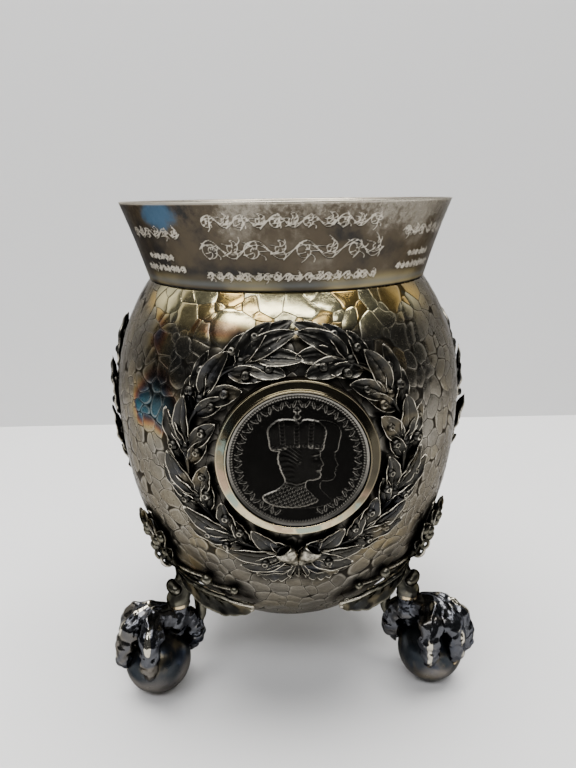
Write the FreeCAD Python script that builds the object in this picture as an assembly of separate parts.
"""Footed trophy cup: a chased egg-shaped bowl with a flared neck, three coin medallions in
laurel wreaths, and three claw-and-ball feet. Millimetres, +Z up, the front medallion faces -Y,
and the origin is on the bowl's axis at the level of the surface that the cup stands on."""

import FreeCAD
import Part
import math
import os
from FreeCAD import Placement, Rotation, Vector

# Balls and claws
ball_radius = 9.5
ball_flat_radius = 2.2
foot_ring_radius = 46.9
ankle_rise = 6.0
ankle_inset = 7.5
ankle_radius = 2.9
palm_radius = 3.7
toe_root_radius = 2.3
toe_knuckle_radius = 2.9
toe_knuckle_out = 2.6
toe_knuckle_rise = 16.8
toe_bend_radius = 2.5
toe_bend_out = 8.2
toe_bend_rise = 14.6
toe_joint_radius = 2.7
toe_joint_out = 10.0
toe_joint_rise = 9.3
toe_tip_radius = 1.7
toe_tip_out = 10.1
toe_tip_rise = 4.2
nail_radius = 0.5
nail_out = 9.7
nail_rise = 1.4
hind_joint_radius = 2.9
hind_joint_out = 12.2
hind_joint_rise = 4.2
hind_bend_radius = 2.3
hind_bend_rise = 8.4
hind_nail_out = 10.3
hind_nail_drop = 2.0
toe_spread_degrees = {"left": (-52.0, 0.0, 57.0), "right": (-76.0, -27.0, 8.0), "back": (-55.0, -2.0, 50.0)}

# Bowl and neck
bowl_sink = 8.8
belly_radius = 49.1
belly_drop = 70.0
shoulder_rise = 33.2
bowl_wall = 0.9
belly_fullness = 2.2
shoulder_fullness = 2.0
neck_radius = 38.0
neck_height = 20.1
neck_wall = 1.0
neck_step = 0.25
rim_radius = 44.9

# Medallions
coin_drop = 3.1
coin_radius = 16.5
coin_thickness = 2.0
coin_border_width = 0.7
coin_border_rise = 0.2
coin_clearance = 0.05
coin_seat_rise = 0.15
bezel_radius = 18.8
bezel_lip_width = 0.35
bezel_lip_thickness = 0.3
bezel_lip_land = 0.45
bezel_ledge_width = 1.5
bezel_cove_depth = 0.35

# Laurel wreaths
wreath_drop = 1.3
wreath_radius = 26.0
wreath_outer_radius = 32.3
wreath_middle_radius = 28.7
wreath_inner_radius = 21.4
wreath_first_degrees = -82.0
wreath_step_degrees = 28.8
wreath_clusters = 6
outer_leaf_sweep_degrees = 18.0
middle_leaf_sweep_degrees = 25.0
inner_leaf_sweep_degrees = 24.0
leaf_width = 4.3
leaf_thickness = 1.3
leaf_edge = 0.5
leaf_root = 1.1
leaf_lift_degrees = 5.0
middle_leaf_lift_degrees = 10.0
stem_radius = 0.8
stem_knot_radius = 1.4
berry_radius = 1.35
berry_outer_radius = 29.0
berry_inner_radius = 22.9
stalk_radius = 0.45

# Ribbon bow
bow_degrees = -90.0
bow_ring_radius = 28.0
bow_knot_radius = 1.9
bow_loop_radius = 2.1
bow_loop_wire = 0.9
bow_loop_spread_degrees = 38.0
bow_loop_reach = 4.4
bow_tail_length = 10.5
bow_tail_fall = 5.0
bow_tail_width = 3.2
bow_end_length = 2.2
bow_end_fall = 7.5

# Legs
cuff_radius = 3.45
shin_radius = 3.6
shin_inset = 0.5
leg_tip_height = 41.5
leg_prouds = (3.0, 4.2, 2.8, 1.7, 0.8)
leg_half_widths = (2.9, 4.6, 4.4, 3.2, 1.4)
leg_root = 3.0
strut_radius = 2.1
strut_tip_radius = 0.9
strut_inset = 6.6
strut_drop = 7.0

# Leaf sprays
spray_leaf_sweep_degrees = 40.0
spray_leaf_width = 8.6
spray_leaf_thickness = 2.4
spray_leaf_rise = 0.5
spray_leaf_root = 4.5
spray_root_degrees = 1.0
spray_root_rise = 19.5
sprig_root_rise = 28.5
sprig_leaf_length = 13.5
sprig_leaf_width = 5.2
sprig_leaf_thickness = 1.7
sprig_spread_degrees = 42.0
spray_berry_radius = 1.7
spray_berry_out = 17.5
spray_berry_rise = 27.5
spray_stalk_radius = 0.9

# Fits and shared values
seat_gap = 0.05
strut_gap = 0.15
cuff_gap = 0.35
cut_overrun = 1.0
turn_degrees = 360.0
copies = 3
stem_points = 3
pole_points = 9
shoulder_points = 6
oval_points = 8
berry_sink_share = 0.3

# Heights that follow from the sizes above
ball_centre = math.sqrt(ball_radius**2 - ball_flat_radius**2)
ankle_height = ball_centre + ball_radius + ankle_rise
ankle_out = foot_ring_radius - ankle_inset
bowl_bottom = ankle_height - bowl_sink
leg_step = (bowl_bottom + leg_tip_height - ankle_height) / (len(leg_prouds) + 1)
shin_height = ankle_height + leg_step
shin_out = ankle_out - shin_inset
belly_height = bowl_bottom + belly_drop
seam_height = belly_height + shoulder_rise
rim_height = seam_height + neck_height
coin_height = belly_height - coin_drop

UP = Vector(0, 0, 1)
ORIGIN = Vector(0, 0, 0)
FEET = {"right": 0.5, "back": 1.5, "left": 2.5}
MEDALLIONS = {"front": 0, "right": 1, "left": 2}


def place(out, side, up):
    """A point ahead of the axis by out, to its right by side and above the table by up."""
    return Vector(side, -out, up)


def around(out, degrees, up):
    """A point at a distance out from the axis, at an angle from the front, seen from above."""
    angle = math.radians(degrees)
    return place(out * math.cos(angle), out * math.sin(angle), up)


def join(pieces):
    """Fuses pieces one after another into one solid."""
    whole = pieces[0]
    for piece in pieces[1:]:
        whole = whole.fuse(piece)
    return whole


def egg_radius(height, inset=0.0):
    """The bowl's radius at a height: one superellipse below the belly and another above it."""
    if height < belly_height:
        share = min(1.0, (belly_height - height) / (belly_drop - inset))
        return (belly_radius - inset) * (1 - share**belly_fullness) ** (1 / belly_fullness)
    seam_share = ((neck_radius - inset) / (belly_radius - inset)) ** shoulder_fullness
    reach = shoulder_rise / (1 - seam_share) ** (1 / shoulder_fullness)
    share = min(1.0, (height - belly_height) / reach)
    return (belly_radius - inset) * (1 - share**shoulder_fullness) ** (1 / shoulder_fullness)


def egg_curve(inset):
    """The bowl's curve as one smooth edge from its pole to the seam, with its two ends."""
    points = []
    for k in range(pole_points):
        angle = math.pi / 2 * (1 - k / pole_points)
        out = (belly_radius - inset) * math.cos(angle) ** (2 / belly_fullness)
        down = (belly_drop - inset) * math.sin(angle) ** (2 / belly_fullness)
        points.append(Vector(out if k else 0, 0, belly_height - down))
    for k in range(shoulder_points + 1):
        height = belly_height + shoulder_rise * k / shoulder_points
        points.append(Vector(egg_radius(height, inset), 0, height))
    curve = Part.BSplineCurve()
    level = Vector(points[1].x, 0, 0)
    closing = points[-1] - points[-2]
    curve.interpolate(Points=points, InitialTangent=level, FinalTangent=closing)
    return curve.toShape(), points[0], points[-1]


def outline(points):
    """A closed wire through points, with straight sides."""
    return Part.makePolygon(points + [points[0]])


def revolve(wire, base=ORIGIN, axis=UP):
    """A full turn of a closed wire about an axis."""
    return Part.Face(wire).revolve(base, axis, turn_degrees)


def make_bowl():
    """The raised bowl: a shell of even wall, closed at its pole and open at the seam."""
    outer, outer_pole, outer_end = egg_curve(0.0)
    inner, inner_pole, inner_end = egg_curve(bowl_wall)
    lip = Part.makeLine(outer_end, inner_end)
    pole = Part.makeLine(inner_pole, outer_pole)
    return revolve(Part.Wire([outer, lip, inner, pole]))


def bowl_envelope(grow):
    """The bowl's outside as a full solid, larger by grow, which trims what is seated on it."""
    curve, pole, end = egg_curve(-grow)
    top = Vector(0, 0, end.z)
    return revolve(Part.Wire([curve, Part.makeLine(end, top), Part.makeLine(top, pole)]))


def make_neck():
    """The flared neck: a cone of sheet whose foot stands over the bowl's lip with a small step."""
    points = [
        Vector(neck_radius - bowl_wall, 0, seam_height),
        Vector(neck_radius + neck_step, 0, seam_height),
        Vector(rim_radius, 0, rim_height),
        Vector(rim_radius - neck_wall, 0, rim_height),
    ]
    return revolve(outline(points))


def bowl_normal(point):
    """The outward normal of the bowl at one of its points, from the slope of its curve."""
    slope = (egg_radius(point.z + bowl_wall) - egg_radius(point.z - bowl_wall)) / (2 * bowl_wall)
    normal = Vector(point.x, point.y, -math.hypot(point.x, point.y) * slope)
    return normal.normalize()


def on_medallion(radius, degrees, rise=0.0):
    """The bowl's point behind a place on the wreath, seen square on, off its surface by rise."""
    angle = math.radians(degrees)
    side = radius * math.cos(angle)
    height = coin_height - wreath_drop + radius * math.sin(angle)
    point = place(math.sqrt(max(egg_radius(height) ** 2 - side**2, 0.0)), side, height)
    return point + bowl_normal(point) * rise


def on_bowl(degrees, height, rise=0.0):
    """The bowl's point at an angle from the front and a height, off its surface by rise."""
    point = around(egg_radius(height), degrees, height)
    return point + bowl_normal(point) * rise


def make_coin():
    """The struck disc with its raised border, facing the front."""
    seat = place(egg_radius(coin_height) + coin_seat_rise, 0, coin_height)
    facing = place(1, 0, 0)
    disc = Part.makeCylinder(coin_radius, coin_thickness, seat, facing)
    field = seat + facing * (coin_thickness - coin_border_rise)
    hollow = Part.makeCylinder(coin_radius - coin_border_width, coin_thickness, field, facing)
    return disc.cut(hollow)


def make_bezel(envelope):
    """The collar that holds the coin: a ledge behind it, a lip over its edge and a hollow slope."""
    seat = place(egg_radius(coin_height), 0, coin_height)
    facing = place(1, 0, 0)
    pocket = coin_radius + coin_clearance
    opening = coin_radius - bezel_lip_width
    land = coin_seat_rise + coin_thickness + coin_clearance
    top = land + bezel_lip_thickness
    skirt = math.sqrt(belly_radius**2 - bezel_radius**2) - belly_radius - cut_overrun
    section = [
        (bezel_radius, 0),
        (bezel_radius, skirt),
        (pocket - bezel_ledge_width, skirt),
        (pocket - bezel_ledge_width, coin_seat_rise),
        (pocket, coin_seat_rise),
        (pocket, land),
        (opening, land),
        (opening, top),
        (opening + bezel_lip_land, top),
    ]
    points = [seat + facing * rise + UP * radius for radius, rise in section]
    edges = [Part.makeLine(a, b) for a, b in zip(points, points[1:])]
    middle = (points[0] + points[-1]) / 2
    inward = (-UP - facing).normalize()
    edges.append(Part.Arc(points[-1], middle + inward * bezel_cove_depth, points[0]).toShape())
    return revolve(Part.Wire(edges), seat, facing).cut(envelope)


def make_leaf(start, end, normal, width, thickness, root):
    """A pointed leaf between two points: an outline of two arcs, domed on top, with a root below."""
    length = (end - start).Length
    low, high = Vector(0, 0, -root), Vector(length, 0, -root)
    half = Vector(0, width / 2, 0)
    middle = (low + high) / 2
    one = Part.Arc(low, middle + half, high).toShape()
    other = Part.Arc(high, middle - half, low).toShape()
    blade = Part.Face(Part.Wire([one, other])).extrude(UP * (root + thickness))
    fall = thickness - leaf_edge
    dome = (length**2 / 4 + fall**2) / (2 * fall)
    leaf = blade.common(Part.makeSphere(dome, Vector(length / 2, 0, thickness - dome)))
    along = (end - start).normalize()
    across = normal.cross(along).normalize()
    leaf.Placement = Placement(start, Rotation(along, across, along.cross(across), "XYZ"))
    return leaf


def make_rod(start, end, radius):
    """A straight round wire between two points."""
    return Part.makeCylinder(radius, (end - start).Length, start, end - start)


def make_limb(stations, side):
    """A smooth round limb through (point, radius) stations, whose sections all turn about side."""
    spine = Part.BSplineCurve()
    spine.interpolate([point for point, _ in stations])
    rings = []
    for point, radius in stations:
        circle = Part.Circle(point, spine.tangent(spine.parameter(point))[0], radius)
        circle.XAxis = side
        rings.append(Part.Wire([circle.toShape()]))
    return Part.makeLoft(rings, True, False)


def across_path(stations):
    """The level direction square to the line from a limb's first station to its last."""
    way = stations[-1][0] - stations[0][0]
    return UP.cross(way).normalize()


def wreath_leaf(base_degrees, reach, sweep_degrees, lift_degrees):
    """A laurel leaf from the stem at one angle to its tip further round, raised towards the tip."""
    start = on_medallion(wreath_radius, base_degrees)
    flat_end = on_medallion(reach, base_degrees + sweep_degrees)
    normal = bowl_normal((start + flat_end) / 2)
    rise = (flat_end - start).Length * math.tan(math.radians(lift_degrees))
    end = on_medallion(reach, base_degrees + sweep_degrees, rise)
    return make_leaf(start, end, normal, leaf_width, leaf_thickness, leaf_root)


def wreath_stem(base_degrees, hand):
    """A length of the wreath's stem, from one leaf cluster to the next over the bowl."""
    step = wreath_step_degrees / (stem_points - 1) * hand
    angles = [base_degrees + step * k for k in range(stem_points)]
    stations = [(on_medallion(wreath_radius, angle, stem_radius / 2), stem_radius) for angle in angles]
    side = bowl_normal(on_medallion(wreath_radius, angles[1]))
    return make_limb(stations, side)


def make_branch(envelope, hand):
    """One laurel branch, cast whole: stem, leaf clusters and berries, from the bow to the top.
    It runs up the right side of the coin where hand is 1, and up its left side where it is -1."""
    leaves = [
        (wreath_outer_radius, outer_leaf_sweep_degrees, leaf_lift_degrees),
        (wreath_inner_radius, inner_leaf_sweep_degrees, leaf_lift_degrees),
        (wreath_middle_radius, middle_leaf_sweep_degrees, middle_leaf_lift_degrees),
    ]
    branch = None
    for cluster in range(wreath_clusters):
        from_level = wreath_first_degrees + wreath_step_degrees * cluster
        angle = from_level if hand > 0 else turn_degrees / 2 - from_level
        knot = on_medallion(wreath_radius, angle, stem_radius / 2)
        pieces = [Part.makeSphere(stem_knot_radius, knot)]
        for reach, sweep, lift in leaves:
            pieces.append(wreath_leaf(angle, reach, sweep * hand, lift))
        if cluster + 1 < wreath_clusters:
            pieces.append(wreath_stem(angle, hand))
        if cluster:
            for radius in (berry_outer_radius, berry_inner_radius):
                berry = on_medallion(radius, angle, berry_radius * (1 - berry_sink_share))
                pieces.append(make_rod(knot, berry, stalk_radius))
                pieces.append(Part.makeSphere(berry_radius, berry))
        part = join(pieces).cut(envelope)
        branch = branch.fuse(part) if branch else part
    return branch


def make_bow(envelope, branches):
    """The ribbon bow at the wreath's foot: a knot, two loops, two long tails and two short ends."""
    knot = on_medallion(bow_ring_radius, bow_degrees, bow_knot_radius * berry_sink_share)
    pieces = [Part.makeSphere(bow_knot_radius, knot)]
    for hand in (-1, 1):
        lean = math.radians(bow_loop_spread_degrees) * hand
        loop_at = knot + Vector(bow_loop_reach * math.sin(lean), 0, bow_loop_reach * math.cos(lean))
        loop_at = on_bowl(math.degrees(math.atan2(loop_at.x, -loop_at.y)), loop_at.z, bow_loop_wire)
        pieces.append(Part.makeTorus(bow_loop_radius, bow_loop_wire, loop_at, bowl_normal(loop_at)))
        for length, fall in ((bow_tail_length, bow_tail_fall), (bow_end_length, bow_end_fall)):
            tip = knot + Vector(length * hand, 0, -fall)
            tip = on_bowl(math.degrees(math.atan2(tip.x, -tip.y)), tip.z, leaf_edge)
            normal = bowl_normal(tip)
            pieces.append(make_leaf(knot, tip, normal, bow_tail_width, leaf_thickness, leaf_root))
    return join(pieces).cut(envelope).cut(branches)


def make_ball():
    """The ball under a foot, worn flat where it meets the table."""
    centre = place(foot_ring_radius, 0, ball_centre)
    worn = Part.makeBox(2 * ball_radius, 2 * ball_radius, ball_radius)
    worn.translate(centre - Vector(ball_radius, ball_radius, ball_radius + ball_centre))
    return Part.makeSphere(ball_radius, centre).cut(worn)


def toe_point(out, rise, degrees):
    """A point at a distance out from the ball's upright axis, on one side of the ball."""
    return place(foot_ring_radius, 0, ball_centre + rise) + around(out, degrees, 0)


def make_palm():
    """The palm: a bulb turned on the ankle's axis, cut level where the leg stands on it."""
    axis = place(ankle_out, 0, 0)
    top = axis + UP * ankle_height
    heart = top - UP * palm_radius
    side = Part.BSplineCurve()
    out = Vector(1, 0, 0)
    below = heart - UP * palm_radius
    points = [below, heart + out * palm_radius, top + out * ankle_radius]
    side.interpolate(Points=points, InitialTangent=out * palm_radius, FinalTangent=UP * palm_radius - out)
    wire = Part.Wire([side.toShape(), Part.makeLine(points[-1], top), Part.makeLine(top, below)])
    return revolve(wire, axis)


def make_strut(clearance=0):
    """The strut that runs behind the claw, from the shin down to the hind toe."""
    strut_out = ankle_out - strut_inset
    stations = [
        (place(shin_out, 0, shin_height), strut_radius + clearance),
        (place(strut_out, 0, ankle_height), strut_radius + clearance),
        (place(strut_out, 0, ankle_height - strut_drop), strut_tip_radius + clearance),
    ]
    return make_limb(stations, across_path(stations))


def make_claw(spreads):
    """The cast claw: a palm under the ankle, three front toes and a hind toe that grip the ball."""
    heart = place(ankle_out, 0, ankle_height - palm_radius)
    pieces = [make_palm()]
    front = [
        (toe_knuckle_out, toe_knuckle_rise, toe_knuckle_radius),
        (toe_bend_out, toe_bend_rise, toe_bend_radius),
        (toe_joint_out, toe_joint_rise, toe_joint_radius),
        (toe_tip_out, toe_tip_rise, toe_tip_radius),
        (nail_out, nail_rise, nail_radius),
    ]
    for spread in spreads:
        stations = [(heart, toe_root_radius)]
        for out, rise, radius in front:
            stations.append((toe_point(out, rise, spread), radius))
        pieces.append(make_limb(stations, across_path(stations)))
    hind = [
        (heart, toe_root_radius),
        (toe_point(-hind_joint_out, hind_bend_rise, 0), hind_bend_radius),
        (toe_point(-hind_joint_out, hind_joint_rise, 0), hind_joint_radius),
        (toe_point(-hind_nail_out, -hind_nail_drop, 0), nail_radius),
    ]
    pieces.append(make_limb(hind, across_path(hind)))
    ball_room = Part.makeSphere(ball_radius + seat_gap, place(foot_ring_radius, 0, ball_centre))
    ankle = place(ankle_out, 0, ankle_height)
    cuff_room = Part.makeCylinder(cuff_radius + cuff_gap, leg_step, ankle)
    return join(pieces).cut(ball_room).cut(cuff_room).cut(make_strut(strut_gap))


def oval(inner, outer, half_width, height):
    """A level oval section of the leg between two distances from the axis."""
    centre = (inner + outer) / 2
    depth = (outer - inner) / 2
    points = []
    for k in range(oval_points):
        angle = 2 * math.pi * k / oval_points
        points.append(place(centre + depth * math.cos(angle), half_width * math.sin(angle), height))
    ring = Part.BSplineCurve()
    ring.interpolate(Points=points, PeriodicFlag=True)
    return Part.Wire([ring.toShape()])


def make_leg():
    """The leg: a cuff on the claw, a shin, a waist and a tongue up the bowl."""
    sections = [
        oval(ankle_out - cuff_radius, ankle_out + cuff_radius, cuff_radius, ankle_height),
        oval(shin_out - shin_radius, shin_out + shin_radius, shin_radius, shin_height),
    ]
    height = shin_height
    for proud, half_width in zip(leg_prouds, leg_half_widths):
        height += leg_step
        surface = egg_radius(height)
        sections.append(oval(surface - leg_root, surface + proud, half_width, height))
    return Part.makeLoft(sections, True, False)


def make_bracket(envelope):
    """The cast bracket: the leg, a leaf round each side of the bowl, and a sprig with berries."""
    pieces = [make_leg(), make_strut()]
    root_height = bowl_bottom + spray_root_rise
    sprig_height = bowl_bottom + sprig_root_rise
    sprig_root = on_bowl(0, sprig_height)
    for hand in (-1, 0, 1):
        lean = math.radians(sprig_spread_degrees) * hand
        along = Vector(math.sin(lean), 0, math.cos(lean)) * sprig_leaf_length
        tip_height = sprig_height + along.z
        tip_degrees = math.degrees(along.x / egg_radius(tip_height))
        tip = on_bowl(tip_degrees, tip_height, leaf_edge)
        normal = bowl_normal((sprig_root + tip) / 2)
        pieces.append(
            make_leaf(sprig_root, tip, normal, sprig_leaf_width, sprig_leaf_thickness, leaf_root)
        )
    for hand in (-1, 1):
        start = on_bowl(spray_root_degrees * hand, root_height)
        tip_height = root_height + spray_leaf_rise
        end = on_bowl((spray_root_degrees + spray_leaf_sweep_degrees) * hand, tip_height, leaf_edge)
        middle_degrees = (spray_root_degrees + spray_leaf_sweep_degrees / 2) * hand
        normal = bowl_normal(on_bowl(middle_degrees, root_height))
        pieces.append(
            make_leaf(start, end, normal, spray_leaf_width, spray_leaf_thickness, spray_leaf_root)
        )
        berry_height = bowl_bottom + spray_berry_rise
        berry_degrees = math.degrees(spray_berry_out / egg_radius(berry_height)) * hand
        berry = on_bowl(berry_degrees, berry_height, spray_berry_radius * (1 - berry_sink_share))
        pieces.append(Part.makeSphere(spray_berry_radius, berry))
        pieces.append(make_rod(sprig_root, berry, spray_stalk_radius))
    return join(pieces).cut(envelope)


def turned(shape, steps):
    """A copy of a shape turned about the axis by a number of thirds of a turn."""
    copy = shape.copy()
    copy.rotate(ORIGIN, UP, turn_degrees / copies * steps)
    return copy


def build():
    """Makes every piece once, and the copies round the axis."""
    envelope = bowl_envelope(seat_gap)
    parts = {"bowl": make_bowl(), "neck": make_neck()}
    coin = make_coin()
    bezel = make_bezel(envelope)
    right_branch = make_branch(envelope, 1)
    left_branch = make_branch(envelope, -1)
    bow = make_bow(envelope, right_branch.fuse(left_branch))
    for side, steps in MEDALLIONS.items():
        parts[f"coin_{side}"] = turned(coin, steps)
        parts[f"bezel_{side}"] = turned(bezel, steps)
        parts[f"laurel_{side}_right_branch"] = turned(right_branch, steps)
        parts[f"laurel_{side}_left_branch"] = turned(left_branch, steps)
        parts[f"bow_{side}"] = turned(bow, steps)
    ball = make_ball()
    bracket = make_bracket(envelope)
    for side, steps in FEET.items():
        parts[f"ball_{side}"] = turned(ball, steps)
        parts[f"bracket_{side}"] = turned(bracket, steps)
        parts[f"claw_{side}"] = turned(make_claw(toe_spread_degrees[side]), steps)
    return parts


def main():
    """Builds the cup and writes one file for each piece."""
    os.makedirs("parts", exist_ok=True)
    for name, shape in build().items():
        shape.exportStep(f"parts/{name}.step")


main()
